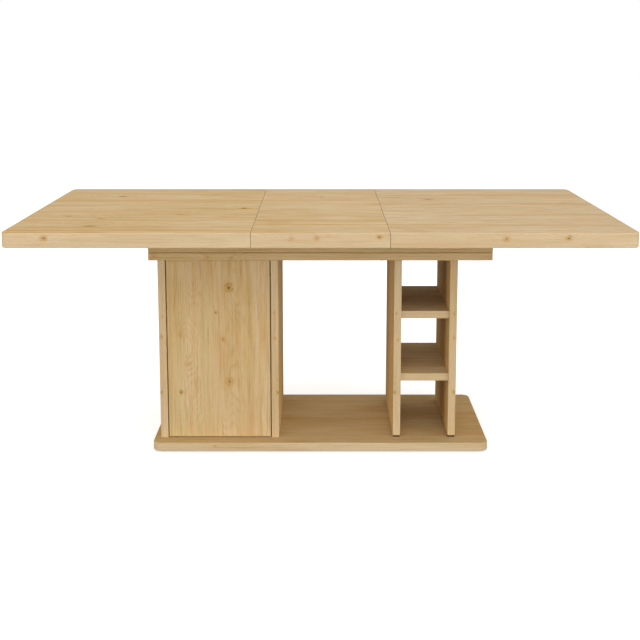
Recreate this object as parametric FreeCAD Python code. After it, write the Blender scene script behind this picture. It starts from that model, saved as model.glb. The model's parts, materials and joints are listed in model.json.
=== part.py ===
import FreeCAD
import Part
import math
import os

# Extending kitchen table that stands on a storage cabinet and an open shelf tower.
# Millimetres. +Z is up, the front is -Y and +X is to the right.
# The origin is on the floor under the middle of the table top.

# Table top: two sliding halves with a loose leaf between them
table_height = 750.0
top_depth = 900.0
top_thickness = 45.0
half_length = 718.0
leaf_length = 400.0
seam_gap = 1.0
top_corner_radius = 25.0
top_edge_radius = 2.5
seam_edge_radius = 0.8

# Boards of the pedestal, and the footprint that its base plate and top plate share
board = 24.0
arris = 1.5
pedestal_length = 1065.0
pedestal_depth = 456.0
base_thickness = 27.0
base_corner_radius = 25.0
base_edge_radius = 2.0
upright_depth = 360.0

# Apron box under the top: rails on the top plate, rebated along the joint for a shadow gap
rail_height = 57.0
joint_radius = 2.0
shadow_gap_height = 2.5
shadow_gap_depth = 6.0
end_rail_drop = 5.0
end_rail_gap = 5.0
tape_thickness = 2.0
tape_width = 12.0
tape_end_inset = 10.0

# Cabinet at the left: two sides, an overlaid back panel and one adjustable shelf
cabinet_inset = 20.0
cabinet_width = 380.0
back_panel_thickness = 22.0
cabinet_shelf_thickness = 18.0
cabinet_lower_bay = 270.0
cabinet_shelf_setback = 46.0
shelf_play = 1.0

# Shelf supports, in two columns of holes in each cabinet side
support_pin_radius = 2.5
support_pin_length = 9.0
support_tab = 12.0
support_reach = 10.0
support_thickness = 2.0
support_column_inset = 40.0
support_hole_pitch = 64.0
support_rows_each_way = 2

# Door, set in flush between the cabinet sides, on a pivot pin at its foot and head
door_thickness = 20.0
door_gap = 3.0
pivot_inset = 20.0
pivot_radius = 3.0
pivot_in_door = 25.0
pivot_in_bush = 9.0
pivot_running_gap = 0.05
pivot_end_play = 0.5
collar_width = 2.5
bush_wall = 2.0
bush_depth = 10.0
bush_flange = 1.0
bush_flange_rim = 2.0

# Push latch on the cabinet's right side, and the strike plate on the door
latch_drop = 60.0
latch_width = 14.0
latch_length = 60.0
latch_travel = 3.0
latch_gap = 0.5
plunger_radius = 3.5
plunger_length = 40.0
plunger_play = 0.1
plunger_head_rim = 1.0
plunger_head = 3.0
plunger_head_bevel = 0.5
plunger_tip_gap = 0.3
strike_radius = 6.0
strike_inset = 2.0
strike_thickness = 1.0

# Open shelf tower at the right, on spacer strips
tower_inset = 100.0
tower_width = 200.0
tower_shelf_setback = 8.0
tower_lower_bay = 186.0
tower_middle_bay = 181.0
spacer_height = 7.0
spacer_inset = 1.5

# Sliding gear: steel channels on the rails, aluminium runners under the halves
channel_height = 30.0
channel_depth = 14.0
channel_wall = 1.5
channel_lip = 6.5
channel_rise = 15.0
channel_end_inset = 12.0
runner_play = 0.35
runner_length = 575.0
runner_setback = 14.0
runner_web = 4.0
runner_web_gap = 0.5
runner_foot = 30.0
runner_foot_thickness = 3.5
groove_depth = 5.0
groove_height = 9.5
pull_out = 40.0
stop_gap = 0.3
stop_plug_length = 12.0
stop_pin_radius = 4.2
stop_pin_head = 4.0

# Leaf cleats, which lie between the channels and keep the leaf in line
cleat_width = 24.0
cleat_height = 24.0
cleat_length = 360.0
cleat_gap = 4.0

# Screws, dowels and glides
fit_gap = 0.05
screw_gap = 0.1
panel_screw_radius = 3.5
panel_screw_head = 5.0
panel_screw_length = 60.0
panel_screw_inset = 60.0
rail_screw_inset = 60.0
rail_screw_count = 4
end_rail_screw_inset = 50.0
wood_screw_radius = 2.2
wood_screw_head = 4.2
runner_screw_length = 26.0
runner_screw_inset = 30.0
runner_screw_count = 5
cleat_screw_length = 45.0
cleat_screw_inset = 40.0
cleat_screw_count = 3
channel_screw_radius = 2.0
channel_screw_length = 16.0
channel_screw_head = 4.0
channel_screw_head_height = 2.2
channel_screw_inset = 25.0
channel_screw_count = 3
latch_screw_length = 32.0
latch_screw_inset = 8.0
dowel_radius = 4.0
dowel_bevel = 1.0
dowel_in_face = 12.0
dowel_in_edge = 18.0
shelf_dowel_inset = 60.0
back_dowel_inset = 80.0
back_dowel_count = 3
glide_height = 5.0
glide_radius = 15.0
glide_rim = 1.0
glide_spike_radius = 1.5
glide_spike = 12.0
glide_inset = 40.0

# Levels, from the floor up
base_bottom = glide_height
base_top = base_bottom + base_thickness
underside = table_height - top_thickness
rail_top = underside - tape_thickness
plate_top = rail_top - rail_height
plate_bottom = plate_top - board

# Places along X and Y
front = -upright_depth / 2
rear = upright_depth / 2
plate_end = pedestal_length / 2
rail_outer = pedestal_depth / 2
rail_inner = rail_outer - board
rail_middle = rail_outer - board / 2
leaf_end = leaf_length / 2
half_start = leaf_end + seam_gap
half_end = half_start + half_length
cabinet_left = -plate_end + cabinet_inset
cabinet_right = cabinet_left + cabinet_width
cabinet_inner_left = cabinet_left + board
cabinet_inner_right = cabinet_right - board
cabinet_middle = (cabinet_left + cabinet_right) / 2
tower_right = plate_end - tower_inset
tower_left = tower_right - tower_width
tower_inner_left = tower_left + board
tower_inner_right = tower_right - board
upright_bottom = base_top + spacer_height

# Middle of the thickness of each board that stands between the base plate and the top plate
cabinet_side_middles = (cabinet_left + board / 2, cabinet_right - board / 2)
upright_middles = (tower_left + board / 2, tower_right - board / 2)

# Shelves
tower_shelf_bottoms = (
    base_top + tower_lower_bay,
    base_top + tower_lower_bay + board + tower_middle_bay,
)
tower_shelf_front = front + tower_shelf_setback
tower_shelf_rear = rear - tower_shelf_setback
cabinet_shelf_bottom = base_top + cabinet_lower_bay
cabinet_shelf_front = front + cabinet_shelf_setback
cabinet_shelf_rear = rear - shelf_play
support_level = cabinet_shelf_bottom - support_tab / 2
support_columns = (cabinet_shelf_front + support_column_inset, cabinet_shelf_rear - support_column_inset)

# Door, its pivot axis and its latch
door_left = cabinet_inner_left + door_gap
door_right = cabinet_inner_right - door_gap
door_bottom = base_top + door_gap
door_top = plate_bottom - door_gap
door_back = front + door_thickness
pivot_x = door_left + pivot_inset
pivot_y = front + door_thickness / 2
bush_bore = pivot_radius + pivot_running_gap
bush_radius = bush_bore + bush_wall
latch_x = door_right - strike_inset - strike_radius
latch_face = latch_x - latch_width / 2
latch_z = plate_bottom - latch_drop
plunger_tip = door_back + strike_thickness + plunger_tip_gap
latch_front = plunger_tip + plunger_head + latch_travel + latch_gap

# Sliding gear, measured inwards from the inner face of the front rail
channel_bottom = plate_top + channel_rise
channel_top = channel_bottom + channel_height
channel_middle = (channel_bottom + channel_top) / 2
channel_end = plate_end - channel_end_inset
runner_inner = half_start + runner_setback
runner_outer = runner_inner + runner_length
runner_back = channel_wall + runner_play
runner_web_face = channel_depth + runner_web_gap
runner_reach = runner_web_face + runner_foot
runner_foot_bottom = underside - runner_foot_thickness
runner_screw_line = -rail_inner + (runner_web_face + runner_web + runner_reach) / 2
groove_floor = runner_back + groove_depth
groove_bottom = channel_middle - groove_height / 2
groove_top = channel_middle + groove_height / 2
stop_pin_x = runner_inner + stop_plug_length + pull_out + stop_gap + stop_pin_radius
end_rail_half = rail_inner - runner_reach - end_rail_gap
cleat_outer = rail_inner - channel_depth - cleat_gap
cleat_inner = cleat_outer - cleat_width

up = FreeCAD.Vector(0, 0, 1)
down = FreeCAD.Vector(0, 0, -1)
right = FreeCAD.Vector(1, 0, 0)
left = FreeCAD.Vector(-1, 0, 0)
back = FreeCAD.Vector(0, 1, 0)
forward = FreeCAD.Vector(0, -1, 0)


def spaced(start, end, count):
    return [start + (end - start) * index / (count - 1) for index in range(count)]


# Closed outline of a rectangle whose corners have their own radii, counted from the low corner
def rounded_outline(u_low, u_high, v_low, v_high, radii, place):
    corners = ((u_low, v_low, 1, 1), (u_high, v_low, -1, 1), (u_high, v_high, -1, -1), (u_low, v_high, 1, -1))
    on_arc = 1 - math.sqrt(0.5)
    starts = []
    ends = []
    edges = []
    for index, (u, v, u_in, v_in) in enumerate(corners):
        radius = radii[index]
        along_u = place(u + u_in * radius, v)
        along_v = place(u, v + v_in * radius)
        starts.append(along_v if index % 2 == 0 else along_u)
        ends.append(along_u if index % 2 == 0 else along_v)
        if radius > 0:
            middle = place(u + u_in * radius * on_arc, v + v_in * radius * on_arc)
            edges.append(Part.Arc(starts[index], middle, ends[index]).toShape())
    for index in range(4):
        edges.append(Part.makeLine(ends[index], starts[(index + 1) % 4]))
    return Part.Wire(Part.__sortEdges__(edges))


# Upright board: its standing arrises are rounded
def upright_board(x_low, x_high, y_low, y_high, z_low, z_high):
    wire = rounded_outline(
        x_low, x_high, y_low, y_high, [arris] * 4, lambda x, y: FreeCAD.Vector(x, y, z_low)
    )
    return Part.Face(wire).extrude(up * (z_high - z_low))


# Lying board: the arrises along its length are rounded
def lying_board(x_low, x_high, y_low, y_high, z_low, z_high, radius):
    wire = rounded_outline(
        y_low, y_high, z_low, z_high, [radius] * 4, lambda y, z: FreeCAD.Vector(x_low, y, z)
    )
    return Part.Face(wire).extrude(right * (x_high - x_low))


# Straight length of a profile whose points are (inwards from the front rail's inner face, height)
def front_profile(points, x_low, x_high):
    corners = [FreeCAD.Vector(x_low, -rail_inner + inwards, z) for inwards, z in points]
    face = Part.Face(Part.makePolygon(corners + corners[:1]))
    return face.extrude(right * (x_high - x_low))


# Turned piece: (radius, height) points round an axis that starts at a place and runs in a direction
def turned(points, start, direction):
    corners = [FreeCAD.Vector(radius, 0, height) for radius, height in points]
    solid = Part.Face(Part.makePolygon(corners + corners[:1])).revolve(FreeCAD.Vector(), up, 360)
    solid.Placement = FreeCAD.Placement(start, FreeCAD.Rotation(up, direction))
    return solid


def bore(radius, depth, start, direction):
    return turned([(0, 0), (radius, 0), (radius, depth), (0, depth)], start, direction)


# Countersunk screw, head flush at its start, and the hole that it sits in
def screw(radius, head, length, start, direction):
    cone = head - radius
    points = [(0, 0), (head, 0), (radius, cone), (radius, length - 2 * radius), (0, length)]
    return turned(points, start, direction)


def screw_hole(radius, head, length, start, direction):
    points = [
        (0, 0),
        (head + screw_gap, 0),
        (radius + screw_gap, head - radius),
        (radius + screw_gap, length + screw_gap),
        (0, length + screw_gap),
    ]
    return turned(points, start, direction)


# Pan-headed screw that holds a channel's wall to the rail behind it, and its hole
def pan_screw(radius, head, head_height, length, start, direction):
    points = [
        (0, -head_height),
        (head - head_height / 2, -head_height),
        (head, -head_height / 2),
        (head, 0),
        (radius, 0),
        (radius, length - 2 * radius),
        (0, length),
    ]
    return turned(points, start, direction)


def dowel(start, direction, before, after):
    points = [
        (0, -before),
        (dowel_radius - dowel_bevel, -before),
        (dowel_radius, -before + dowel_bevel),
        (dowel_radius, after - dowel_bevel),
        (dowel_radius - dowel_bevel, after),
        (0, after),
    ]
    return turned(points, start, direction)


# Dowel bore through the joint face at its start, deeper than the dowel at both ends
def dowel_bore(start, direction, before, after):
    radius = dowel_radius + fit_gap
    low = -before - fit_gap
    high = after + fit_gap
    return turned([(0, low), (radius, low), (radius, high), (0, high)], start, direction)


def mirrored_x(shape, x=0.0):
    return shape.mirror(FreeCAD.Vector(x, 0, 0), right)


def mirrored_y(shape):
    return shape.mirror(FreeCAD.Vector(), back)


def front_and_rear(shapes):
    return shapes + [mirrored_y(shape) for shape in shapes]


# Places of the fasteners, each used by the fastener and by the holes that it passes through
panel_screw_rows = (front + panel_screw_inset, rear - panel_screw_inset)
base_screw_places = [
    FreeCAD.Vector(x, y, base_bottom)
    for x in cabinet_side_middles + upright_middles
    for y in panel_screw_rows
]
plate_screw_places = [FreeCAD.Vector(place.x, place.y, plate_top) for place in base_screw_places]
rail_screw_places = [
    FreeCAD.Vector(x, y, plate_bottom)
    for x in spaced(-plate_end + rail_screw_inset, plate_end - rail_screw_inset, rail_screw_count)
    for y in (-rail_middle, rail_middle)
]
end_rail_screw_places = [
    FreeCAD.Vector(x, y, plate_bottom)
    for x in (-plate_end + board / 2, plate_end - board / 2)
    for y in (-end_rail_half + end_rail_screw_inset, end_rail_half - end_rail_screw_inset)
]
glide_places = [
    FreeCAD.Vector(x, y, base_bottom)
    for x in (-plate_end + glide_inset, 0, plate_end - glide_inset)
    for y in (-rail_outer + glide_inset, rail_outer - glide_inset)
]
channel_screw_offsets = spaced(
    stop_pin_x + stop_pin_radius + channel_screw_inset, channel_end - channel_screw_inset, channel_screw_count
)
channel_screw_xs = [0.0] + channel_screw_offsets + [-x for x in channel_screw_offsets]
channel_screw_places = [
    FreeCAD.Vector(x, -rail_inner + channel_wall, channel_middle) for x in channel_screw_xs
]
stop_pin_places = [
    FreeCAD.Vector(x, -rail_inner + channel_wall, channel_middle) for x in (-stop_pin_x, stop_pin_x)
]
runner_screw_places = [
    FreeCAD.Vector(x, runner_screw_line, runner_foot_bottom)
    for x in spaced(runner_inner + runner_screw_inset, runner_outer - runner_screw_inset, runner_screw_count)
]
cleat_screw_reach = cleat_length / 2 - cleat_screw_inset
cleat_screw_places = [
    FreeCAD.Vector(x, -(cleat_outer + cleat_inner) / 2, underside - cleat_height)
    for x in spaced(-cleat_screw_reach, cleat_screw_reach, cleat_screw_count)
]
back_dowel_places = [
    FreeCAD.Vector(x, rear, z)
    for x in cabinet_side_middles
    for z in spaced(base_top + back_dowel_inset, plate_bottom - back_dowel_inset, back_dowel_count)
]
shelf_dowel_rows = (tower_shelf_front + shelf_dowel_inset, tower_shelf_rear - shelf_dowel_inset)
shelf_dowel_left_places = [
    FreeCAD.Vector(tower_inner_left, y, z + board / 2) for z in tower_shelf_bottoms for y in shelf_dowel_rows
]
shelf_dowel_right_places = [
    FreeCAD.Vector(tower_inner_right, place.y, place.z) for place in shelf_dowel_left_places
]
latch_screw_place = FreeCAD.Vector(
    latch_face, latch_front + latch_length - latch_screw_inset, latch_z
)
base_pivot = FreeCAD.Vector(pivot_x, pivot_y, base_top)
plate_pivot = FreeCAD.Vector(pivot_x, pivot_y, plate_bottom)


def panel_screw(place, direction):
    return screw(panel_screw_radius, panel_screw_head, panel_screw_length, place, direction)


def panel_screw_hole(place, direction):
    return screw_hole(panel_screw_radius, panel_screw_head, panel_screw_length, place, direction)


base_screw_holes = [panel_screw_hole(place, up) for place in base_screw_places]
plate_screw_holes = [panel_screw_hole(place, down) for place in plate_screw_places]
rail_screw_holes = [panel_screw_hole(place, up) for place in rail_screw_places + end_rail_screw_places]


# Slab of the right half: rounded outer corners, a soft edge all round and a finer one at the seam
def half_slab():
    wire = rounded_outline(
        half_start,
        half_end,
        -top_depth / 2,
        top_depth / 2,
        [0, top_corner_radius, top_corner_radius, 0],
        lambda x, y: FreeCAD.Vector(x, y, underside),
    )
    slab = Part.Face(wire).extrude(up * top_thickness)
    outer_edges = []
    for edge in slab.Edges:
        box = edge.BoundBox
        if box.ZLength < fit_gap and box.XMax > half_start + fit_gap:
            outer_edges.append(edge)
    slab = slab.makeFillet(top_edge_radius, outer_edges)
    seam_edges = [edge for edge in slab.Edges if edge.BoundBox.XMax < half_start + fit_gap]
    slab = slab.makeFillet(seam_edge_radius, seam_edges)
    return slab.cut(front_and_rear([runner_screw_hole(place) for place in runner_screw_places]))


def leaf_slab():
    slab = lying_board(
        -leaf_end, leaf_end, -top_depth / 2, top_depth / 2, underside, table_height, top_edge_radius
    )
    seam_edges = [edge for edge in slab.Edges if edge.BoundBox.XLength < fit_gap]
    slab = slab.makeFillet(seam_edge_radius, seam_edges)
    return slab.cut(front_and_rear([cleat_screw_hole(place) for place in cleat_screw_places]))


def leaf_cleat_front():
    cleat = lying_board(
        -cleat_length / 2,
        cleat_length / 2,
        -cleat_outer,
        -cleat_inner,
        underside - cleat_height,
        underside,
        arris,
    )
    return cleat.cut([cleat_screw_hole(place) for place in cleat_screw_places])


def cleat_screw_hole(place):
    return screw_hole(wood_screw_radius, wood_screw_head, cleat_screw_length, place, up)


def cleat_screw(place):
    return screw(wood_screw_radius, wood_screw_head, cleat_screw_length, place, up)


def runner_screw_hole(place):
    return screw_hole(wood_screw_radius, wood_screw_head, runner_screw_length, place, up)


def runner_screw(place):
    return screw(wood_screw_radius, wood_screw_head, runner_screw_length, place, up)


# C-shaped steel channel on the front rail, open towards the middle of the table
def guide_channel_front():
    inner = channel_depth - channel_wall
    points = [
        (0, channel_bottom),
        (channel_depth, channel_bottom),
        (channel_depth, channel_bottom + channel_lip),
        (inner, channel_bottom + channel_lip),
        (inner, channel_bottom + channel_wall),
        (channel_wall, channel_bottom + channel_wall),
        (channel_wall, channel_top - channel_wall),
        (inner, channel_top - channel_wall),
        (inner, channel_top - channel_lip),
        (channel_depth, channel_top - channel_lip),
        (channel_depth, channel_top),
        (0, channel_top),
    ]
    channel = front_profile(points, -channel_end, channel_end)
    places = channel_screw_places + stop_pin_places
    return channel.cut([channel_screw_hole(place) for place in places])


def channel_screw_hole(place):
    return bore(channel_screw_radius + screw_gap, channel_screw_length + screw_gap, place, forward)


# Runner extrusion: a head that fills the channel, a neck through its slot, a web and a foot under the top.
# The groove along the back of the head clears the channel's screws.
def runner_front():
    head_low = channel_bottom + channel_wall + runner_play
    head_high = channel_top - channel_wall - runner_play
    head_face = channel_depth - channel_wall - runner_play
    neck_low = channel_bottom + channel_lip + runner_play
    neck_high = channel_top - channel_lip - runner_play
    points = [
        (runner_back, head_low),
        (head_face, head_low),
        (head_face, neck_low),
        (runner_web_face + runner_web, neck_low),
        (runner_web_face + runner_web, runner_foot_bottom),
        (runner_reach, runner_foot_bottom),
        (runner_reach, underside),
        (runner_web_face, underside),
        (runner_web_face, neck_high),
        (head_face, neck_high),
        (head_face, head_high),
        (runner_back, head_high),
        (runner_back, groove_top),
        (groove_floor, groove_top),
        (groove_floor, groove_bottom),
        (runner_back, groove_bottom),
    ]
    runner = front_profile(points, runner_inner, runner_outer)
    return runner.cut([runner_screw_hole(place) for place in runner_screw_places])


# Plug that closes the groove at the runner's inner end and meets the stop pin
def stop_plug_front():
    points = [
        (runner_back, groove_bottom),
        (groove_floor, groove_bottom),
        (groove_floor, groove_top),
        (runner_back, groove_top),
    ]
    return front_profile(points, runner_inner, runner_inner + stop_plug_length)


def channel_screw(place):
    return pan_screw(
        channel_screw_radius,
        channel_screw_head,
        channel_screw_head_height,
        channel_screw_length,
        place,
        forward,
    )


def stop_pin(place):
    return pan_screw(
        channel_screw_radius, stop_pin_radius, stop_pin_head, channel_screw_length, place, forward
    )


def rail_front():
    rail = lying_board(-plate_end, plate_end, -rail_outer, -rail_inner, plate_top, rail_top, joint_radius)
    joint = FreeCAD.Vector(-plate_end, -rail_outer, plate_top)
    rebate = Part.makeBox(pedestal_length, shadow_gap_depth, shadow_gap_height, joint)
    places = channel_screw_places + stop_pin_places
    return rail.cut(rail_screw_holes + [channel_screw_hole(place) for place in places] + [rebate])


def end_rail_right():
    wire = rounded_outline(
        plate_end - board,
        plate_end,
        plate_top,
        rail_top - end_rail_drop,
        [joint_radius] * 4,
        lambda x, z: FreeCAD.Vector(x, -end_rail_half, z),
    )
    rail = Part.Face(wire).extrude(back * (2 * end_rail_half))
    joint = FreeCAD.Vector(plate_end - shadow_gap_depth, -end_rail_half, plate_top)
    rebate = Part.makeBox(shadow_gap_depth, 2 * end_rail_half, shadow_gap_height, joint)
    return rail.cut(rail_screw_holes + [rebate])


def glide_tape_front():
    return lying_board(
        -plate_end + tape_end_inset,
        plate_end - tape_end_inset,
        -rail_middle - tape_width / 2,
        -rail_middle + tape_width / 2,
        rail_top,
        underside,
        0,
    )


def top_plate():
    plate = lying_board(-plate_end, plate_end, -rail_outer, rail_outer, plate_bottom, plate_top, joint_radius)
    socket = bore(bush_radius + fit_gap, bush_depth, plate_pivot, up)
    return plate.cut(plate_screw_holes + rail_screw_holes + [socket])


def base_plate():
    wire = rounded_outline(
        -plate_end,
        plate_end,
        -rail_outer,
        rail_outer,
        [base_corner_radius] * 4,
        lambda x, y: FreeCAD.Vector(x, y, base_bottom),
    )
    plate = Part.Face(wire).extrude(up * base_thickness)
    rims = [edge for edge in plate.Edges if edge.BoundBox.ZLength < fit_gap]
    plate = plate.makeFillet(base_edge_radius, rims)
    spikes = [bore(glide_spike_radius + screw_gap, glide_spike, place, up) for place in glide_places]
    socket = bore(bush_radius + fit_gap, bush_depth, base_pivot, down)
    return plate.cut(base_screw_holes + spikes + [socket])


def glide(place):
    points = [
        (0, -glide_spike),
        (glide_spike_radius, -glide_spike + 2 * glide_spike_radius),
        (glide_spike_radius, 0),
        (glide_radius, 0),
        (glide_radius, glide_height - glide_rim),
        (glide_radius - glide_rim, glide_height),
        (0, glide_height),
    ]
    return turned(points, place, down)


# Cabinet side with its bores: base and plate screws, back dowels and two columns of shelf holes
def cabinet_side(x_low, inner_face, into_side):
    side = upright_board(x_low, x_low + board, front, rear, base_top, plate_bottom)
    dowels = [dowel_bore(place, back, dowel_in_edge, dowel_in_face) for place in back_dowel_places]
    radius = support_pin_radius + fit_gap
    depth = support_pin_length + fit_gap
    supports = []
    for y in support_columns:
        for row in range(-support_rows_each_way, support_rows_each_way + 1):
            place = FreeCAD.Vector(inner_face, y, support_level + row * support_hole_pitch)
            supports.append(bore(radius, depth, place, into_side))
    latch_hole = screw_hole(wood_screw_radius, wood_screw_head, latch_screw_length, latch_screw_place, right)
    return side.cut(base_screw_holes + plate_screw_holes + dowels + supports + [latch_hole])


def cabinet_back_panel():
    panel = upright_board(
        cabinet_left, cabinet_right, rear, rear + back_panel_thickness, base_top, plate_bottom
    )
    return panel.cut([dowel_bore(place, back, dowel_in_edge, dowel_in_face) for place in back_dowel_places])


def cabinet_shelf():
    return lying_board(
        cabinet_inner_left + shelf_play,
        cabinet_inner_right - shelf_play,
        cabinet_shelf_front,
        cabinet_shelf_rear,
        cabinet_shelf_bottom,
        cabinet_shelf_bottom + cabinet_shelf_thickness,
        arris,
    )


# Angle that carries the shelf, with a pin in the cabinet side
def shelf_support_left(y):
    corners = [
        (0, 0),
        (support_reach, 0),
        (support_reach, -support_thickness),
        (support_thickness, -support_thickness),
        (support_thickness, -support_tab),
        (0, -support_tab),
    ]
    points = [
        FreeCAD.Vector(cabinet_inner_left + x, y - support_tab / 2, cabinet_shelf_bottom + z)
        for x, z in corners
    ]
    angle = Part.Face(Part.makePolygon(points + points[:1])).extrude(back * support_tab)
    pin = bore(
        support_pin_radius,
        support_pin_length + support_thickness,
        FreeCAD.Vector(cabinet_inner_left + support_thickness, y, support_level),
        left,
    )
    return angle.fuse(pin).removeSplitter()


def door_panel():
    panel = upright_board(door_left, door_right, front, door_back, door_bottom, door_top)
    sockets = [
        bore(pivot_radius + fit_gap, pivot_in_door, FreeCAD.Vector(pivot_x, pivot_y, door_bottom), up),
        bore(pivot_radius + fit_gap, pivot_in_door, FreeCAD.Vector(pivot_x, pivot_y, door_top), down),
    ]
    return panel.cut(sockets)


# Pivot pin: one end in the door, a collar in the gap and a journal in the bush
def pivot_pin(level, direction, end_play):
    collar = door_gap - bush_flange - end_play
    points = [
        (0, -pivot_in_door),
        (pivot_radius, -pivot_in_door),
        (pivot_radius, 0),
        (pivot_radius + collar_width, 0),
        (pivot_radius + collar_width, collar),
        (pivot_radius, collar),
        (pivot_radius, door_gap + pivot_in_bush),
        (0, door_gap + pivot_in_bush),
    ]
    return turned(points, FreeCAD.Vector(pivot_x, pivot_y, level), direction)


def pivot_bush(place, direction):
    points = [
        (bush_bore, -bush_depth),
        (bush_radius, -bush_depth),
        (bush_radius, 0),
        (bush_radius + bush_flange_rim, 0),
        (bush_radius + bush_flange_rim, bush_flange),
        (bush_bore, bush_flange),
    ]
    return turned(points, place, direction)


def latch_housing():
    wire = rounded_outline(
        latch_face,
        cabinet_inner_right,
        latch_z - latch_width / 2,
        latch_z + latch_width / 2,
        [arris, 0, 0, arris],
        lambda x, z: FreeCAD.Vector(x, latch_front, z),
    )
    housing = Part.Face(wire).extrude(back * latch_length)
    mouth = FreeCAD.Vector(latch_x, latch_front, latch_z)
    guide = bore(plunger_radius + plunger_play, plunger_length, mouth, back)
    hole = screw_hole(wood_screw_radius, wood_screw_head, latch_screw_length, latch_screw_place, right)
    return housing.cut([guide, hole])


def latch_plunger():
    head_radius = plunger_radius + plunger_head_rim
    points = [
        (0, 0),
        (head_radius - plunger_head_bevel, 0),
        (head_radius, plunger_head_bevel),
        (head_radius, plunger_head),
        (plunger_radius, plunger_head),
        (plunger_radius, plunger_head + plunger_length),
        (0, plunger_head + plunger_length),
    ]
    return turned(points, FreeCAD.Vector(latch_x, plunger_tip, latch_z), back)


def strike_plate():
    return bore(strike_radius, strike_thickness, FreeCAD.Vector(latch_x, door_back, latch_z), back)


def tower_upright(x_low):
    upright = upright_board(x_low, x_low + board, front, rear, upright_bottom, plate_bottom)
    dowels = [dowel_bore(place, right, dowel_in_face, dowel_in_edge) for place in shelf_dowel_left_places]
    dowels += [dowel_bore(place, left, dowel_in_face, dowel_in_edge) for place in shelf_dowel_right_places]
    return upright.cut(base_screw_holes + plate_screw_holes + dowels)


def tower_shelf(bottom):
    shelf = lying_board(
        tower_inner_left,
        tower_inner_right,
        tower_shelf_front,
        tower_shelf_rear,
        bottom,
        bottom + board,
        arris,
    )
    dowels = [dowel_bore(place, right, dowel_in_face, dowel_in_edge) for place in shelf_dowel_left_places]
    dowels += [dowel_bore(place, left, dowel_in_face, dowel_in_edge) for place in shelf_dowel_right_places]
    return shelf.cut(dowels)


def upright_spacer(x_low):
    strip = upright_board(
        x_low + spacer_inset,
        x_low + board - spacer_inset,
        front + spacer_inset,
        rear - spacer_inset,
        base_top,
        upright_bottom,
    )
    return strip.cut(base_screw_holes)


def shelf_dowels():
    dowels = [dowel(place, right, dowel_in_face, dowel_in_edge) for place in shelf_dowel_left_places]
    return dowels + [dowel(place, left, dowel_in_face, dowel_in_edge) for place in shelf_dowel_right_places]


supports_left = [shelf_support_left(y) for y in support_columns]
channel_front = guide_channel_front()
runner = runner_front()
end_rail = end_rail_right()
slab = half_slab()
plug = stop_plug_front()
rail = rail_front()
tape = glide_tape_front()
cleat = leaf_cleat_front()

nodes = {
    "base_plate": [base_plate()],
    "floor_glides": [glide(place) for place in glide_places],
    "base_screws": [panel_screw(place, up) for place in base_screw_places],
    "cabinet_side_left": [cabinet_side(cabinet_left, cabinet_inner_left, left)],
    "cabinet_side_right": [cabinet_side(cabinet_inner_right, cabinet_inner_right, right)],
    "cabinet_back_panel": [cabinet_back_panel()],
    "back_panel_dowels": [dowel(place, back, dowel_in_edge, dowel_in_face) for place in back_dowel_places],
    "cabinet_shelf": [cabinet_shelf()],
    "shelf_supports": supports_left + [mirrored_x(support, cabinet_middle) for support in supports_left],
    "door_panel": [door_panel()],
    "door_pivot_pin_lower": [pivot_pin(door_bottom, down, 0)],
    "door_pivot_pin_upper": [pivot_pin(door_top, up, pivot_end_play)],
    "pivot_bush_lower": [pivot_bush(base_pivot, up)],
    "pivot_bush_upper": [pivot_bush(plate_pivot, down)],
    "strike_plate": [strike_plate()],
    "latch_housing": [latch_housing()],
    "latch_plunger": [latch_plunger()],
    "latch_screw": [screw(wood_screw_radius, wood_screw_head, latch_screw_length, latch_screw_place, right)],
    "tower_upright_left": [tower_upright(tower_left)],
    "tower_upright_right": [tower_upright(tower_inner_right)],
    "tower_shelf_lower": [tower_shelf(tower_shelf_bottoms[0])],
    "tower_shelf_upper": [tower_shelf(tower_shelf_bottoms[1])],
    "tower_shelf_dowels": shelf_dowels(),
    "upright_spacers": [upright_spacer(tower_left), upright_spacer(tower_inner_right)],
    "top_plate": [top_plate()],
    "top_plate_screws": [panel_screw(place, down) for place in plate_screw_places],
    "rail_front": [rail],
    "rail_rear": [mirrored_y(rail)],
    "end_rail_left": [mirrored_x(end_rail)],
    "end_rail_right": [end_rail],
    "rail_screws": [panel_screw(place, up) for place in rail_screw_places + end_rail_screw_places],
    "glide_tape_front": [tape],
    "glide_tape_rear": [mirrored_y(tape)],
    "guide_channel_front": [channel_front],
    "guide_channel_rear": [mirrored_y(channel_front)],
    "guide_channel_screws": front_and_rear([channel_screw(place) for place in channel_screw_places]),
    "slide_stop_pins": front_and_rear([stop_pin(place) for place in stop_pin_places]),
    "top_half_right": [slab],
    "top_half_left": [mirrored_x(slab)],
    "leaf": [leaf_slab()],
    "leaf_cleat_front": [cleat],
    "leaf_cleat_rear": [mirrored_y(cleat)],
    "leaf_cleat_screws": front_and_rear([cleat_screw(place) for place in cleat_screw_places]),
}
runner_screws = front_and_rear([runner_screw(place) for place in runner_screw_places])
for side, turn in (("right", lambda shape: shape), ("left", mirrored_x)):
    nodes["runner_" + side + "_front"] = [turn(runner)]
    nodes["runner_" + side + "_rear"] = [turn(mirrored_y(runner))]
    nodes["runner_stop_plugs_" + side] = [turn(shape) for shape in front_and_rear([plug])]
    nodes["runner_screws_" + side] = [turn(shape) for shape in runner_screws]

os.makedirs("parts", exist_ok=True)
for name, shapes in nodes.items():
    solids = [solid for shape in shapes for solid in shape.Solids]
    piece = solids[0] if len(solids) == 1 else Part.makeCompound(solids)
    piece.exportStep("parts/" + name + ".step")
print(len(nodes), "nodes")
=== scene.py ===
import json
import math
from functools import partial

import bmesh
import bpy
from mathutils import Matrix, Vector


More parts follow.
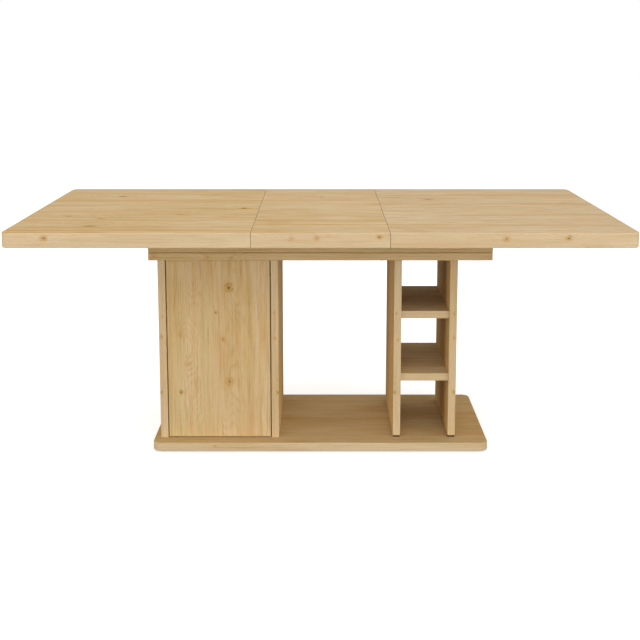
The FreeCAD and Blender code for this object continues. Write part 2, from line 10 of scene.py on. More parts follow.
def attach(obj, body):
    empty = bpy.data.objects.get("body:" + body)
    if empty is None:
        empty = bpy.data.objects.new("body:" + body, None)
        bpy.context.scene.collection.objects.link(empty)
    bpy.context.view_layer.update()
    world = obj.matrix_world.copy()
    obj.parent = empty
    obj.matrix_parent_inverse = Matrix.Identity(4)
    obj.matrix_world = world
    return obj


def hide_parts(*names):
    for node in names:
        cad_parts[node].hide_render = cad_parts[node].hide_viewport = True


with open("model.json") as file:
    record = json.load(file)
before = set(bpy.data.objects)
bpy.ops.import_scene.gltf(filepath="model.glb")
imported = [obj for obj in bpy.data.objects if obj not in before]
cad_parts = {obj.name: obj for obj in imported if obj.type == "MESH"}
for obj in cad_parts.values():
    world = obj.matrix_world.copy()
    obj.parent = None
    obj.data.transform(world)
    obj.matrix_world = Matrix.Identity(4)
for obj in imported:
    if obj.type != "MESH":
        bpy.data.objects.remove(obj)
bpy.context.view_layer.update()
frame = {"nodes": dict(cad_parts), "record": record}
nodes = frame["nodes"]

metresPerMm = 0.001
mmPerMetre = 1000.0
plainWhite = (1.0, 1.0, 1.0, 1.0)
pickShare, pickFirst, pickSecond = 0, 2, 3  # a Mix node's sockets for numbers
tintShare, tintUnder, tintOver, tintResult = 0, 6, 7, 2  # and for colours


# follows the sRGB curve
def hexToLinear(code):
    channels = [int(code[i:i + 2], 16) / 255 for i in (1, 3, 5)]
    linear = [c / 12.92 if c <= 0.04045 else ((c + 0.055) / 1.055) ** 2.4 for c in channels]
    return (*linear, 1.0)


# inputs are numbers, colours, sockets, or nodes that stand for their first output
def addNode(tree, kind, inputs=(), **settings):
    node = tree.nodes.new("ShaderNode" + kind)
    for name, value in settings.items():
        setattr(node, name, value)
    for socket, value in inputs.items() if isinstance(inputs, dict) else enumerate(inputs):
        if isinstance(value, bpy.types.Node):
            value = value.outputs[0]
        if isinstance(value, bpy.types.NodeSocket):
            tree.links.new(value, node.inputs[socket])
        else:
            node.inputs[socket].default_value = value
    return node


def newMaterial(name):
    material = bpy.data.materials.new(name)
    material.use_nodes = True
    material.node_tree.nodes.clear()
    return material, partial(addNode, material.node_tree)


def dress(node, material):
    mesh = nodes[node].data
    mesh.materials.clear()
    mesh.materials.append(material)


# Oak decor: printed foil under a satin melamine coat, pressed on chipboard and on its edge bands.
# The eye gets pale honey bands, amber streaks, rings that bend round small knots and a fine pore emboss.
oak = {
    "pale": "#D6C09A",
    "honey": "#C6A871",
    "rosy": "#C59C68",
    "olive": "#C2B17C",
    "amber": "#BC8E45",
    "late": "#A37A40",
    "pore": "#8E6938",
    "knotRim": "#C1923A",
    "knotHeart": "#5E3B10",
    "bandPale": "#CFC2AF",
    "facing": 0.7,  # how square to an axis a face is before it takes that axis's mapping
    "seedStep": 31.7,  # how far apart the boards' sheets lie in the noise
    "bandStep": 0.5,  # and an edge band's sheet from its board's
    "bandFade": 0.27,  # share of pale foil on the edge bands of most boards
    # length along the grain and breadth across it in mm, then the noise's detail and roughness
    "layers": {
        "band": (420, 75, 3.0, 0.55),
        "rosy": (380, 80, 2.0, 0.5),
        "olive": (340, 60, 2.0, 0.5),
        "flame": (1400, 30, 3.0, 0.55),
        "patch": (110, 15, 2.0, 0.5),
        "streak": (340, 7, 4.0, 0.6),
        "line": (160, 3.2, 2.0, 0.6),
        "fibre": (70, 1.8, 3.0, 0.65),
        "pore": (16, 0.8, 1.0, 0.5),  # real pores are half as wide, too fine to show
        "sway": (620, 120, 1.5, 0.45),
    },
    # between which levels of its noise a layer comes in, and its share of colour at each
    "shows": {
        "band": (0.28, 0.75, 0.15, 0.9),
        "rosy": (0.5, 0.75, 0.0, 0.5),
        "olive": (0.48, 0.7, 0.0, 0.5),
        "flame": (0.53, 0.76, 0.0, 0.5),
        "patch": (0.5, 0.75, 0.0, 0.0),
        "streak": (0.54, 0.78, 0.0, 0.6),
        "line": (0.52, 0.75, 0.0, 0.45),
        "fibre": (0.5, 0.8, 0.0, 0.4),
        "pore": (0.6, 0.75, 0.0, 0.3),
    },
    "ringMm": 10.5,
    "ringDrift": 5.0,  # rings that the bands push aside, so their spacing varies
    "swayRings": (14.0, 2.8),  # rings that the sway pushes aside, on faces and on edge bands
    "ringSharpness": 2.5,
    "ringDepth": (0.3, 0.75, 0.12, 0.34),  # by the sway's level
    "ringBreaks": (0.35, 0.65),  # by the line's level
    "knotRingDepth": 0.2,
    # knots: lengths are times the knot's size, and spans and barkAt times its core's radius
    "swellAcross": 2.2,
    "swellAlong": 5.5,
    "swellRings": 0.28,
    "wobble": 0.9,
    "wobbleMm": 10,
    "wobbleDetail": 2.0,
    "coreAcross": 0.55,
    "coreAlong": 0.7,
    "heartSpan": (0.7, 0.2),
    "barkAt": 0.95,
    "barkSpan": (0.3, 0.05),
    "barkShare": 0.5,
    "barkGaps": (0.4, 0.6),
    "rimSpan": (2.0, 0.6),
    "rimShare": 0.2,
    "rimGain": 0.32,  # more rim on a dark knot
    # pin knots, one in a cell at most: spot and swell are times the pin's size, then their strength
    "pinCellMm": (260, 150),
    "pinScatter": 0.8,
    "pinStretch": 0.7,
    "pinChance": (0.5, 1.0),
    "pinMm": (0.1, 2.6),
    "pinSpot": (1.5, 0.6, 0.0, 0.5),
    "pinSwell": (8.0, 0.0, 0.0, 2.0),
    "roughness": (0.3, 0.75, 0.74, 0.86),  # by the fibre's level
    "embossMm": 0.06,
    "embossStrength": 0.6,
    "ior": 1.5,
    "specular": 0.05,
}

# Each board's axes in the order grain, width, thickness, its seed, and its knots as x, y, z and size
# in mm, and darkness. Where a board differs: its share of flame, patch or streak; of amber on its faces
# (warmth), which is painted shade, the warm dark that bounce light gives faces under the top and in the
# tower; of pale foil (faceFade) on its faces; and of pale foil on its edge bands (bandFade).
topLevel = 750
topFace = -450
plateFace = -228
doorFace = -180
backFace = 202
boards = {
    "top_half_left": {
        "axes": "xyz", "seed": 1.0, "bandFade": 0.4, "faceFade": 0.24, "flame": 0.8, "patch": 0.5,
        "knots": [
            (-793, topFace, 733, 13, 0.7), (-699, 260, topLevel, 22, 0.85),
            (-251, -4, topLevel, 24, 0.95), (-445, -130, topLevel, 18, 0.4),
            (-680, -205, topLevel, 22, 0.4), (-790, -162, topLevel, 14, 0.6),
            (-685, -339, topLevel, 24, 0.8)]},
    "top_half_right": {
        "axes": "xyz", "seed": 2.3, "bandFade": 0.4, "faceFade": 0.5, "flame": 0.8, "patch": 0.5,
        "knots": [
            (533, topFace, 733, 14, 0.4), (711, topFace, 735, 12, 0.75), (374, 190, topLevel, 22, 0.5)]},
    "leaf": {
        "axes": "xyz", "seed": 3.9, "bandFade": 0.4, "faceFade": 0.28, "flame": 0.8, "patch": 0.5,
        "knots": [
            (-83, topFace, 733, 11, 0.2), (-10, topFace, 733, 13, 0.3), (169, topFace, 738, 11, 0.7),
            (6, 240, topLevel, 14, 0.6)]},
    "base_plate": {
        "axes": "xyz", "seed": 4.6, "paintedShadeAmber": 0.15, "faceFade": 0.05,
        "knots": [(-334, plateFace, 21, 6, 0.4)]},
    "top_plate": {
        "axes": "xyz", "seed": 5.2, "bandFade": 0.0,
        "knots": [
            (-514, plateFace, 635, 9, 0.25), (-349, plateFace, 632, 11, 0.3),
            (-276, plateFace, 630, 9, 0.2)]},
    "rail_front": {"axes": "xzy", "seed": 6.7, "bandFade": 0.0, "knots": []},
    "rail_rear": {"axes": "xzy", "seed": 7.1, "bandFade": 0.0, "knots": []},
    "end_rail_left": {"axes": "yzx", "seed": 8.4, "knots": []},
    "end_rail_right": {"axes": "yzx", "seed": 9.8, "knots": []},
    "cabinet_side_left": {
        "axes": "zyx", "seed": 10.5, "paintedShadeAmber": 0.2,
        "knots": [
            (-500, doorFace, 432, 8, 0.2), (-505, doorFace, 365, 9, 0.3), (-509, doorFace, 182, 8, 0.6)]},
    "cabinet_side_right": {
        "axes": "zyx", "seed": 11.9, "paintedShadeAmber": 0.2,
        "knots": [
            (-147, doorFace, 443, 7, 0.2), (-145, doorFace, 360, 9, 0.25), (-136, doorFace, 182, 9, 0.6)]},
    "cabinet_back_panel": {
        "axes": "zxy", "seed": 12.2,
        "knots": [
            (-230, backFace, 470, 14, 0.5), (-400, backFace, 250, 11, 0.6),
            (-300, backFace, 140, 16, 0.3)]},
    "cabinet_shelf": {"axes": "xyz", "seed": 13.6, "knots": []},
    "door_panel": {
        "axes": "zxy", "seed": 14.3, "faceFade": 0.12, "streak": 0.35, "flame": 0.55, "patch": 0.25,
        "knots": [
            (-289, doorFace, 525, 21, 0.85), (-331, doorFace, 444, 8, 0.8), (-308, doorFace, 355, 13, 0.35),
            (-445, doorFace, 370, 12, 0.2), (-410, doorFace, 342, 17, 0.0), (-423, doorFace, 275, 15, 0.1),
            (-289, doorFace, 217, 20, 0.4), (-445, doorFace, 183, 10, 0.9), (-414, doorFace, 70, 22, 0.0),
            (-318, doorFace, 100, 19, 0.0), (-404, doorFace, 565, 15, 0.0)]},
    "tower_upright_left": {
        "axes": "zyx", "seed": 15.7, "paintedShadeAmber": 0.45,
        "knots": [
            (241, doorFace, 441, 7, 0.25), (247, doorFace, 355, 8, 0.25), (237, doorFace, 182, 8, 0.55)]},
    "tower_upright_right": {
        "axes": "zyx", "seed": 16.1, "paintedShadeAmber": 0.45,
        "knots": [
            (423, doorFace, 441, 8, 0.25), (425, doorFace, 361, 8, 0.3), (427, doorFace, 182, 9, 0.6)]},
    "tower_shelf_lower": {"axes": "xyz", "seed": 17.8, "faceFade": 0.1, "knots": []},
    "tower_shelf_upper": {"axes": "xyz", "seed": 18.4, "faceFade": 0.4, "knots": []},
}


# the decor runs along the grain on faces and long edges, and along the band on end edges
def layDecor(add, order, seed):
    place = add("TexCoord")
    mm = add("VectorMath", {0: place.outputs["Object"], "Scale": mmPerMetre}, operation="SCALE")
    axes = add("SeparateXYZ", [mm]).outputs
    normal = add("VectorMath", [place.outputs["Normal"]], operation="ABSOLUTE")
    facing = add("SeparateXYZ", [normal]).outputs
    grain, width, thickness = [axes[i] for i in order]
    onEnd = add("Math", [facing[order[0]], oak["facing"]], operation="GREATER_THAN")
    onLong = add("Math", [facing[order[1]], oak["facing"]], operation="GREATER_THAN")
    onBand = add("Math", [onEnd, onLong], operation="MAXIMUM")
    along = add("Mix", {pickShare: onEnd, pickFirst: grain, pickSecond: width})
    across = add("Mix", {pickShare: onBand, pickFirst: width, pickSecond: thickness})
    sheet = add("Math", [onBand, oak["bandStep"], seed * oak["seedStep"]], operation="MULTIPLY_ADD")
    return mm, onBand, across, add("CombineXYZ", [along, across, sheet])


# every knot pushes the rings aside, and a dark one has a heart, a broken ring of bark and a golden rim
def drawKnots(add, mm, grainAxis, knots, rings):
    cells = add("VectorMath", {0: mm, "Scale": 1 / oak["wobbleMm"]}, operation="SCALE")
    wobbly = {"Vector": cells, "Scale": 1.0, "Detail": oak["wobbleDetail"]}
    noise = add("TexNoise", wobbly).outputs["Color"]
    wobble = add("VectorMath", [noise, (0.5, 0.5, 0.5)], operation="SUBTRACT")
    gaps = add("MapRange", [add("SeparateColor", [noise]).outputs[1], *oak["barkGaps"]])
    heart = rim = figure = 0.0
    for x, y, z, size, darkness in knots:
        off = add("VectorMath", [mm, (x, y, z)], operation="SUBTRACT")
        reach = [1 / (oak["swellAcross"] * size)] * 3
        reach[grainAxis] = 1 / (oak["swellAlong"] * size)
        spread = add("VectorMath", [off, reach], operation="MULTIPLY")
        square = add("VectorMath", [spread, spread], operation="DOT_PRODUCT").outputs["Value"]
        swell = add("Math", [math.exp(-1), square], operation="POWER")
        rings = add("Math", [swell, oak["swellRings"] * size, rings], operation="MULTIPLY_ADD")
        figure = add("Math", [figure, swell], operation="MAXIMUM")
        if not darkness:
            continue
        bent = add("VectorMath", [wobble, (oak["wobble"] * size,) * 3, off], operation="MULTIPLY_ADD")
        core = [1 / (oak["coreAcross"] * size)] * 3
        core[grainAxis] = 1 / (oak["coreAlong"] * size)
        near = add("VectorMath", [bent, core], operation="MULTIPLY")
        far = add("VectorMath", [near], operation="LENGTH").outputs["Value"]
        spot = add("MapRange", [far, *oak["heartSpan"], 0.0, darkness], interpolation_type="SMOOTHSTEP")
        fromBark = add("Math", [far, oak["barkAt"]], operation="SUBTRACT")
        edge = add("Math", [fromBark], operation="ABSOLUTE")
        bark = add("MapRange", [edge, *oak["barkSpan"], 0.0, oak["barkShare"] * darkness],
                   interpolation_type="SMOOTHSTEP")
        patchy = add("Math", [bark, gaps], operation="MULTIPLY")
        golden = oak["rimShare"] + oak["rimGain"] * darkness
        halo = add("MapRange", [far, *oak["rimSpan"], 0.0, golden], interpolation_type="SMOOTHSTEP")
        dark = add("Math", [spot, patchy], operation="MAXIMUM")
        heart = add("Math", [heart, dark], operation="MAXIMUM")
        rim = add("Math", [rim, halo], operation="MAXIMUM")
    return rings, figure, heart, rim


# pin knots are strewn over the sheet
def drawPins(add, decor):
    length, breadth = oak["pinCellMm"]
    cells = add("VectorMath", [decor, (1 / length, 1 / breadth, 1.0)], operation="MULTIPLY")
    strewn = {"Vector": cells, "Scale": 1.0, "Randomness": oak["pinScatter"]}
    pin = add("TexVoronoi", strewn, voronoi_dimensions="2D")
    off = add("VectorMath", [cells, pin.outputs["Position"]], operation="SUBTRACT")
    offMm = add("VectorMath", [off, (length * oak["pinStretch"], breadth, 0.0)], operation="MULTIPLY")
    far = add("VectorMath", [offMm], operation="LENGTH").outputs["Value"]
    chance = add("SeparateColor", [pin.outputs["Color"]]).outputs[0]
    size = add("MapRange", [chance, *oak["pinChance"], *oak["pinMm"]])
    share = add("Math", [far, size], operation="DIVIDE")
    spot = add("MapRange", [share, *oak["pinSpot"]], interpolation_type="SMOOTHSTEP")
    swell = add("MapRange", [share, *oak["pinSwell"]], interpolation_type="SMOOTHERSTEP")
    return spot, swell


def oakDecor(board, look):
    material, add = newMaterial("oakDecorMelamine." + board)
    order = ["xyz".index(axis) for axis in look["axes"]]
    mm, onBand, across, decor = layDecor(add, order, look["seed"])
    layers = {}
    for layer, (length, breadth, detail, roughness) in oak["layers"].items():
        cells = add("VectorMath", [decor, (1 / length, 1 / breadth, 1.0)], operation="MULTIPLY")
        layers[layer] = add("TexNoise", {
            "Vector": cells, "Scale": 1.0, "Detail": detail, "Roughness": roughness})
    shows = {}
    for layer, (start, full, least, most) in oak["shows"].items():
        shows[layer] = add("MapRange", [layers[layer], start, full, least, look.get(layer, most)])

    # growth rings are level lines of a slope that sways, and swells round each knot
    slope = add("Math", [across, 1 / oak["ringMm"]], operation="MULTIPLY")
    swayRings = add("MapRange", [onBand, 0.0, 1.0, *oak["swayRings"]])
    rings = add("Math", [layers["sway"], swayRings, slope], operation="MULTIPLY_ADD")
    rings = add("Math", [layers["band"], oak["ringDrift"], rings], operation="MULTIPLY_ADD")
    rings, figure, heart, rim = drawKnots(add, mm, order[0], look["knots"], rings)
    pinSpot, pinSwell = drawPins(add, decor)
    rings = add("Math", [rings, pinSwell], operation="ADD")
    heart = add("Math", [heart, pinSpot], operation="MAXIMUM")
    turn = add("Math", [rings, math.tau], operation="MULTIPLY")
    sine = add("Math", [turn], operation="SINE")
    wave = add("Math", [sine, 0.5, 0.5], operation="MULTIPLY_ADD")
    ringLine = add("Math", [wave, oak["ringSharpness"]], operation="POWER")
    swayDepth = add("MapRange", [layers["sway"], *oak["ringDepth"]])
    ringDepth = add("Math", [figure, oak["knotRingDepth"], swayDepth], operation="MULTIPLY_ADD")
    broken = add("MapRange", [layers["line"], *oak["ringBreaks"]])
    wholeRing = add("Math", [ringLine, ringDepth], operation="MULTIPLY")
    ringShade = add("Math", [wholeRing, broken], operation="MULTIPLY")

    # amber on the faces only, not the edge bands: painted shade, the warm dark of faces in shade
    paintedShadeAmber = add("MapRange", [onBand, 0.0, 1.0, look.get("paintedShadeAmber", 0.0), 0.0])
    faceFade = add("MapRange", [onBand, 0.0, 1.0, look.get("faceFade", 0.0), 0.0])
    bandFade = add("MapRange", [onBand, 0.0, 1.0, 0.0, look.get("bandFade", oak["bandFade"])])
    coats = [  # from the ground up
        ("honey", shows["band"]),
        ("rosy", shows["rosy"]),
        ("olive", shows["olive"]),
        ("amber", paintedShadeAmber),
        ("bandPale", faceFade),
        ("amber", shows["flame"]),
        ("amber", shows["patch"]),
        ("amber", shows["streak"]),
        ("late", shows["line"]),
        ("late", ringShade),
        ("late", shows["fibre"]),
        ("pore", shows["pore"]),
        ("bandPale", bandFade),
        ("knotRim", rim),
        ("knotHeart", heart),
    ]
    colour = hexToLinear(oak["pale"])
    for tint, share in coats:
        tinted = {tintShare: share, tintUnder: colour, tintOver: hexToLinear(oak[tint])}
        colour = add("Mix", tinted, data_type="RGBA").outputs[tintResult]

    roughness = add("MapRange", [layers["fibre"], *oak["roughness"]])
    relief = add("Math", [layers["fibre"], shows["pore"]], operation="ADD")
    emboss = add("Bump", {
        "Height": relief, "Distance": oak["embossMm"] * metresPerMm, "Strength": oak["embossStrength"]},
        invert=True)
    shader = add("BsdfPrincipled", {
        "Base Color": colour, "Roughness": roughness, "Normal": emboss,
        "IOR": oak["ior"], "Specular IOR Level": oak["specular"]})
    add("OutputMaterial", [shader])
    return material


for board, look in boards.items():
    dress(board, oakDecor(board, look))
print("oak decor:", len(boards), "boards")

# Beech: planed and left bare. The eye gets a pinkish tan with short darker ray flecks along the grain.
beech = {
    "tan": "#DDBD93",
    "pink": "#CFA678",
    "fleck": "#A77B4E",
    "layers": {"grain": (60, 4), "fleck": (5, 0.8)},  # length and breadth in mm
    "detail": 2.0,
    "grainShows": (0.35, 0.7),
    "fleckShows": (0.58, 0.72, 0.0, 0.6),
    "roughness": (0.3, 0.7, 0.6, 0.75),  # by the grain's level
    "reliefMm": 0.05,
    "reliefStrength": 0.5,
    "specular": 0.25,
    # each part's axis of the grain
    "parts": {"back_panel_dowels": 1, "tower_shelf_dowels": 0, "leaf_cleat_front": 0, "leaf_cleat_rear": 0},
}


def bareBeech(part, grainAxis):
    material, add = newMaterial("planedBeech." + part)
    place = add("TexCoord").outputs["Object"]
    mm = add("VectorMath", {0: place, "Scale": mmPerMetre}, operation="SCALE")
    layers = {}
    for layer, (length, breadth) in beech["layers"].items():
        scale = [1 / breadth] * 3
        scale[grainAxis] = 1 / length
        cells = add("VectorMath", [mm, scale], operation="MULTIPLY")
        layers[layer] = add("TexNoise", {"Vector": cells, "Scale": 1.0, "Detail": beech["detail"]})
    coats = [
        ("pink", add("MapRange", [layers["grain"], *beech["grainShows"]])),
        ("fleck", add("MapRange", [layers["fleck"], *beech["fleckShows"]])),
    ]
    colour = hexToLinear(beech["tan"])
    for tint, share in coats:
        tinted = {tintShare: share, tintUnder: colour, tintOver: hexToLinear(beech[tint])}
        colour = add("Mix", tinted, data_type="RGBA").outputs[tintResult]
    roughness = add("MapRange", [layers["grain"], *beech["roughness"]])
    relief = add("Bump", {
        "Height": layers["fleck"], "Distance": beech["reliefMm"] * metresPerMm,
        "Strength": beech["reliefStrength"]})
    shader = add("BsdfPrincipled", {
        "Base Color": colour, "Roughness": roughness, "Normal": relief,
        "Specular IOR Level": beech["specular"]})
    add("OutputMaterial", [shader])
    return material


for part, grainAxis in beech["parts"].items():
    dress(part, bareBeech(part, grainAxis))
print("beech:", len(beech["parts"]), "parts")

# Small fittings, each with a speckle of its own size that moves its colour, roughness and relief
speckle = {
    "detail": 3.0,
    "shows": (0.35, 0.65),  # levels of its noise between which the light colour comes in
    "roughens": (0.3, 0.7),  # and the roughness rises
    "strength": 0.5,
}
fittings = {
    # ABS, moulded in a spark-eroded tool: dull black with a fine even grit, drawn twice as coarse to show
    "mouldedAbs": {
        "dark": "#171513", "light": "#26221E", "speckMm": (0.8, 0.8, 0.8),
        "roughness": (0.45, 0.62), "metallic": 0.0, "reliefMm": 0.04,
        "parts": [
            "floor_glides", "runner_stop_plugs_left", "runner_stop_plugs_right", "latch_housing",
            "pivot_bush_lower", "pivot_bush_upper"]},
    # PVC, extruded and cut to length, with faint lines along its length; its dull dark brown is painted
    # shade, the dark of the shadow gap under the uprights
    "shadowGapPvc": {
        "dark": "#43260B", "light": "#563313", "speckMm": (1.2, 40.0, 1.2),
        "roughness": (0.5, 0.65), "metallic": 0.0, "reliefMm": 0.04,
        "parts": ["upright_spacers"]},
    # nylon, moulded and left natural: milky white with faint clouds and a soft sheen
    "naturalNylon": {
        "dark": "#D9D5C9", "light": "#EBE8E0", "speckMm": (9.0, 9.0, 9.0),
        "roughness": (0.36, 0.48), "metallic": 0.0, "reliefMm": 0.02,
        "parts": ["glide_tape_front", "glide_tape_rear", "latch_plunger"]},
    # steel, barrel zinc plated and clear passivated: bright grey with bluish clouds and tiny rub marks
    "zincPlatedSteel": {
        "dark": "#989DA0", "light": "#BDC2C8", "speckMm": (3.5, 3.5, 3.5),
        "roughness": (0.28, 0.42), "metallic": 1.0, "reliefMm": 0.003,
        "parts": [
            "base_screws", "top_plate_screws", "rail_screws", "latch_screw", "guide_channel_front",
            "guide_channel_rear", "guide_channel_screws", "slide_stop_pins", "leaf_cleat_screws",
            "runner_screws_left", "runner_screws_right", "shelf_supports", "door_pivot_pin_lower",
            "door_pivot_pin_upper", "strike_plate"]},
    # aluminium, extruded and left as it leaves the die: pale grey with long die lines
    "millAluminium": {
        "dark": "#96999C", "light": "#B4B7BA", "speckMm": (90.0, 0.7, 0.7),
        "roughness": (0.3, 0.46), "metallic": 1.0, "reliefMm": 0.02,
        "parts": ["runner_left_front", "runner_left_rear", "runner_right_front", "runner_right_rear"]},
}


def fittingMaterial(name, look):
    material, add = newMaterial(name)
    scale = [mmPerMetre / size for size in look["speckMm"]]
    cells = add("VectorMath", [add("TexCoord").outputs["Object"], scale], operation="MULTIPLY")
    speck = add("TexNoise", {"Vector": cells, "Scale": 1.0, "Detail": speckle["detail"]})
    share = add("MapRange", [speck, *speckle["shows"]])
    tinted = {tintShare: share, tintUnder: hexToLinear(look["dark"]), tintOver: hexToLinear(look["light"])}
    colour = add("Mix", tinted, data_type="RGBA").outputs[tintResult]
    roughness = add("MapRange", [speck, *speckle["roughens"], *look["roughness"]])
    relief = add("Bump", {
        "Height": speck, "Distance": look["reliefMm"] * metresPerMm, "Strength": speckle["strength"]})
    shader = add("BsdfPrincipled", {
        "Base Color": colour, "Roughness": roughness, "Normal": relief, "Metallic": look["metallic"]})
    add("OutputMaterial", [shader])
    return material


finishes = {}
for name, look in fittings.items():
    finishes[name] = fittingMaterial(name, look)
    for part in look["parts"]:
        dress(part, finishes[name])
    print(name + ":", len(look["parts"]), "parts")

# Screws: cold headed and thread rolled, so each head has a cross recess and each shank a thread.
# They stand for the plain CAD screws, within the same outline.
screws = {
    "nodes": ["base_screws", "top_plate_screws", "rail_screws", "latch_screw", "guide_channel_screws",
              "slide_stop_pins", "leaf_cleat_screws", "runner_screws_left", "runner_screws_right"],
    "sides": 16,
    "pitch": 1.1,  # of the shank's radius, coarse as in screws for board
    "threadDepth": 0.25,  # of the shank's radius
    "threadShare": 0.75,  # of the shank's length
    "recessReach": 0.6,  # of the head's radius, as are the next two
    "recessHalf": 0.14,
    "recessDepth": 0.45,
    "recessTaper": 0.6,
    "twist": 0.9,  # radians from one screw to the next
    "sharpDegrees": 40,
    "weldMm": 0.001,
    "tinyMm": 0.01,
    "digits": 5,  # of metres, which is the same as tinyMm
}


# a CAD screw's points give its place, with Z from head to tip, and its outline as depth and radius
def screwShape(points):
    tiny = screws["tinyMm"] * metresPerMm
    rounded = partial(round, ndigits=screws["digits"])
    spans = [(min(p[i] for p in points), max(p[i] for p in points)) for i in range(3)]
    axis = max(range(3), key=lambda i: spans[i][1] - spans[i][0])
    ends = [[p for p in points if abs(p[axis] - level) < tiny] for level in spans[axis]]
    tip = min(ends, key=len)[0]
    headLevel = next(level for level in spans[axis] if abs(level - tip[axis]) > tiny)
    start = tip.copy()
    start[axis] = headLevel
    way = (tip - start).normalized()
    pairs = {(rounded((p - start).dot(way)), -rounded((p - start).cross(way).length)) for p in points}
    outline = [(depth, -radius) for depth, radius in sorted(pairs) if depth or radius]
    place = Matrix.Translation(start) @ way.to_track_quat("Z", "Y").to_matrix().to_4x4()
    return place, outline


# the linked points of a node's mesh are one screw each
def screwShapes(node):
    mesh = bmesh.new()
    mesh.from_mesh(nodes[node].data)
    bmesh.ops.remove_doubles(mesh, verts=mesh.verts, dist=screws["weldMm"] * metresPerMm)
    left = set(mesh.verts)
    shapes = []
    while left:
        waiting = [left.pop()]
        points = []
        while waiting:
            vert = waiting.pop()
            points.append(vert.co.copy())
            linked = {edge.other_vert(vert) for edge in vert.link_edges} & left
            left -= linked
            waiting.extend(linked)
        shapes.append(screwShape(points))
    mesh.free()
    return sorted(shapes, key=lambda shape: tuple(round(v, screws["digits"]) for v in shape[0].translation))


# rings along the shank stand for the thread
def withThread(outline):
    runs = [lower[0] - upper[0] for upper, lower in zip(outline, outline[1:])]
    shank = runs.index(max(runs))
    radius = outline[shank][1]
    foot = outline[shank + 1][0]
    step = screws["pitch"] * radius / 2
    turns = int(runs[shank] * screws["threadShare"] / (2 * step))
    valley = radius * (1 - screws["threadDepth"])
    thread = [(foot - k * step, valley if k % 2 else radius) for k in range(2 * turns, 0, -1)]
    return outline[:shank + 1] + thread + outline[shank + 1:]


def addScrew(mesh, outline, place):
    sides = screws["sides"]
    turns = [math.tau * i / sides for i in range(sides)]
    rings = [
        [mesh.verts.new(place @ Vector((radius * math.cos(t), radius * math.sin(t), depth))) for t in turns]
        for depth, radius in outline[:-1]
    ]
    tip = mesh.verts.new(place @ Vector((0.0, 0.0, outline[-1][0])))
    for upper, lower in zip(rings, rings[1:]):
        for i in range(sides):
            mesh.faces.new((upper[i - 1], upper[i], lower[i], lower[i - 1]))
    for i in range(sides):
        mesh.faces.new((rings[-1][i - 1], rings[-1][i], tip))

    # the cross recess narrows to its floor
    head = outline[0][1]
    reach = screws["recessReach"] * head
    half = screws["recessHalf"] * head
    sunk = Matrix.Translation((0.0, 0.0, screws["recessDepth"] * head))
    floor = sunk @ Matrix.Scale(screws["recessTaper"], 4)
    cross = [
        Matrix.Rotation(quarter * math.pi / 2, 4, "Z") @ Vector(corner)
        for quarter in range(4)
        for corner in ((reach, -half, 0.0), (reach, half, 0.0), (half, half, 0.0))
    ]
    rim = [mesh.verts.new(place @ corner) for corner in cross]
    bottom = [mesh.verts.new(place @ floor @ corner) for corner in cross]
    for i in range(len(cross)):
        mesh.faces.new((rim[i - 1], rim[i], bottom[i], bottom[i - 1]))
    mesh.faces.new(bottom)
    loops = [mesh.edges.get((loop[i - 1], loop[i])) for loop in (rings[0], rim) for i in range(len(loop))]
    bmesh.ops.triangle_fill(mesh, edges=loops, use_beauty=True)


bodies = frame["record"]["behaviour"]["bodies"]
bodyOf = {node: body for body, members in bodies.items() for node in members}
for node in screws["nodes"]:
    mesh = bmesh.new()
    for index, (place, outline) in enumerate(screwShapes(node)):
        addScrew(mesh, withThread(outline), place @ Matrix.Rotation(index * screws["twist"], 4, "Z"))
    bmesh.ops.recalc_face_normals(mesh, faces=mesh.faces)
    data = bpy.data.meshes.new("threaded." + node)
    mesh.to_mesh(data)
    mesh.free()
    data.shade_smooth()
    data.set_sharp_from_angle(angle=math.radians(screws["sharpDegrees"]))
    data.materials.append(finishes["zincPlatedSteel"])
    piece = bpy.data.objects.new("threaded." + node, data)
    bpy.context.scene.collection.objects.link(piece)
    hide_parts(node)
    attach(piece, bodyOf[node])
    print("screws:", node, index + 1)

# Studio: pale floor, softboxes, a dim warm room and a white backdrop. Lengths are in metres.
studio = {
    "aim": (0.0, 0.0, 0.5),
    "floorHalf": 12.0,
    "floorSeen": "#EFF2F7",
    "floorBounce": "#4A4845",
    "floorRoughness": 0.9,
    "floorLift": 0.5,  # glow that the camera sees, so that the floor is as pale as the backdrop
    "roomColour": "#FFFBF3",
    "roomLevel": 0.7,
    "backdropLevel": 1.0,
    "softboxes": {
        "frontLow": {"place": (0.0, -4.8, 0.35), "size": (1.6, 0.6), "watts": 51.0, "colour": "#FFFFFF"},
        "frontHigh": {"place": (0.0, -3.6, 3.6), "size": (4.0, 1.6), "watts": 45.0, "colour": "#FFFFFF"},
        "overhead": {"place": (0.0, 0.0, 3.4), "size": (4.0, 3.0), "watts": 22.5, "colour": "#FFFFFF"},
        "left": {"place": (-4.2, -2.6, 0.9), "size": (1.4, 1.4), "watts": 67.0, "colour": "#FFF4E4"},
        "right": {"place": (4.2, -2.6, 0.9), "size": (1.4, 1.4), "watts": 67.0, "colour": "#FFF4E4"},
        "rearLeft": {"place": (-3.4, 3.6, 0.9), "size": (1.4, 1.4), "watts": 20.0, "colour": "#FFF4E4"},
        "rearRight": {"place": (3.4, 3.6, 0.9), "size": (1.4, 1.4), "watts": 20.0, "colour": "#FFF4E4"},
    },
}


# by the camera, or mirrored in metal
def seenDirectly(add):
    path = add("LightPath").outputs
    mirrored = add("Math", [path["Is Glossy Ray"], path["Is Transmission Ray"]], operation="MAXIMUM")
    return add("Math", [path["Is Camera Ray"], mirrored], operation="MAXIMUM")


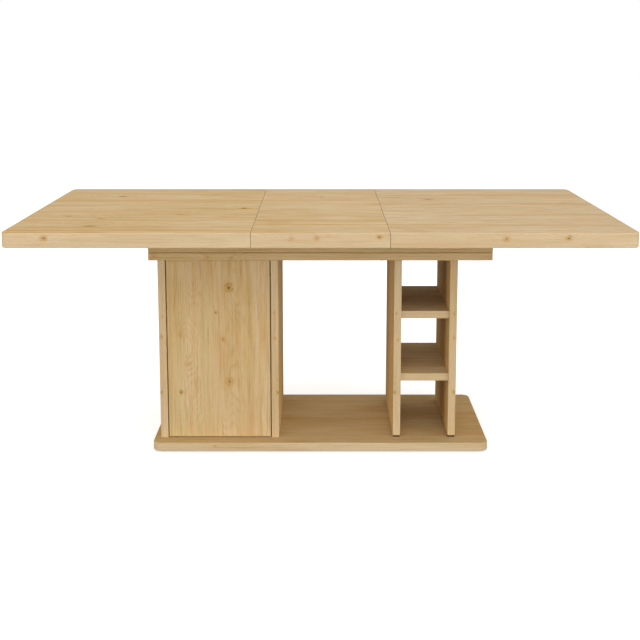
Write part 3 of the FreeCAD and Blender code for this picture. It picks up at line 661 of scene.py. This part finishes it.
def makeFloor():
    half = studio["floorHalf"]
    mesh = bpy.data.meshes.new("studioFloor")
    corners = [(-half, -half, 0), (half, -half, 0), (half, half, 0), (-half, half, 0)]
    mesh.from_pydata(corners, [], [(0, 1, 2, 3)])
    floor = bpy.data.objects.new("studioFloor", mesh)
    bpy.context.scene.collection.objects.link(floor)
    material, add = newMaterial("paleStudioPaper")
    seen = seenDirectly(add)
    bounce, shown = [hexToLinear(studio[tint]) for tint in ("floorBounce", "floorSeen")]
    tinted = {tintShare: seen, tintUnder: bounce, tintOver: shown}
    colour = add("Mix", tinted, data_type="RGBA").outputs[tintResult]
    lift = add("Math", [seen, studio["floorLift"]], operation="MULTIPLY")
    shader = add("BsdfPrincipled", {
        "Base Color": colour, "Roughness": studio["floorRoughness"],
        "Emission Color": plainWhite, "Emission Strength": lift})
    add("OutputMaterial", [shader])
    mesh.materials.append(material)


def makeSoftbox(name):
    box = studio["softboxes"][name]
    lamp = bpy.data.lights.new(name + "Softbox", "AREA")
    lamp.shape = "RECTANGLE"
    lamp.size, lamp.size_y = box["size"]
    lamp.energy = box["watts"]
    lamp.color = hexToLinear(box["colour"])[:3]
    holder = bpy.data.objects.new(name + "Softbox", lamp)
    holder.location = box["place"]
    way = Vector(studio["aim"]) - Vector(box["place"])
    holder.rotation_euler = way.to_track_quat("-Z", "Y").to_euler()
    holder.visible_camera = False
    bpy.context.scene.collection.objects.link(holder)


def makeRoom():
    world = bpy.data.worlds.new("studioRoom")
    world.use_nodes = True
    world.node_tree.nodes.clear()
    add = partial(addNode, world.node_tree)
    dim = add("Background", [hexToLinear(studio["roomColour"]), studio["roomLevel"]])
    backdrop = add("Background", [plainWhite, studio["backdropLevel"]])
    add("OutputWorld", [add("MixShader", [seenDirectly(add), dim, backdrop])])
    bpy.context.scene.world = world


makeFloor()
for name in studio["softboxes"]:
    makeSoftbox(name)
makeRoom()
bpy.context.scene.view_settings.view_transform = "Standard"
print("studio: floor, room and", len(studio["softboxes"]), "softboxes")

# Camera at the photograph's angle, with the photograph's own off-centre framing
view = {
    "place": (0.0, -3.3412, 1.2854),
    "pitchDown": 8.23,  # degrees below level
    "imageSide": 640,  # pixels, as are the next three
    "focalPixels": 1027.5,
    "axisColumn": 320.4,
    "axisRow": 192.36,
    "sensorMm": 36.0,
}
lens = bpy.data.cameras.new("photoCamera")
lens.sensor_width = view["sensorMm"]
lens.lens = view["sensorMm"] * view["focalPixels"] / view["imageSide"]
lens.shift_x = 0.5 - view["axisColumn"] / view["imageSide"]
lens.shift_y = view["axisRow"] / view["imageSide"] - 0.5
camera = bpy.data.objects.new("photoCamera", lens)
camera.location = view["place"]
camera.rotation_euler = (math.radians(90 - view["pitchDown"]), 0.0, 0.0)
bpy.context.scene.collection.objects.link(camera)
bpy.context.scene.camera = camera
print("camera: lens", round(lens.lens, 2), "mm")
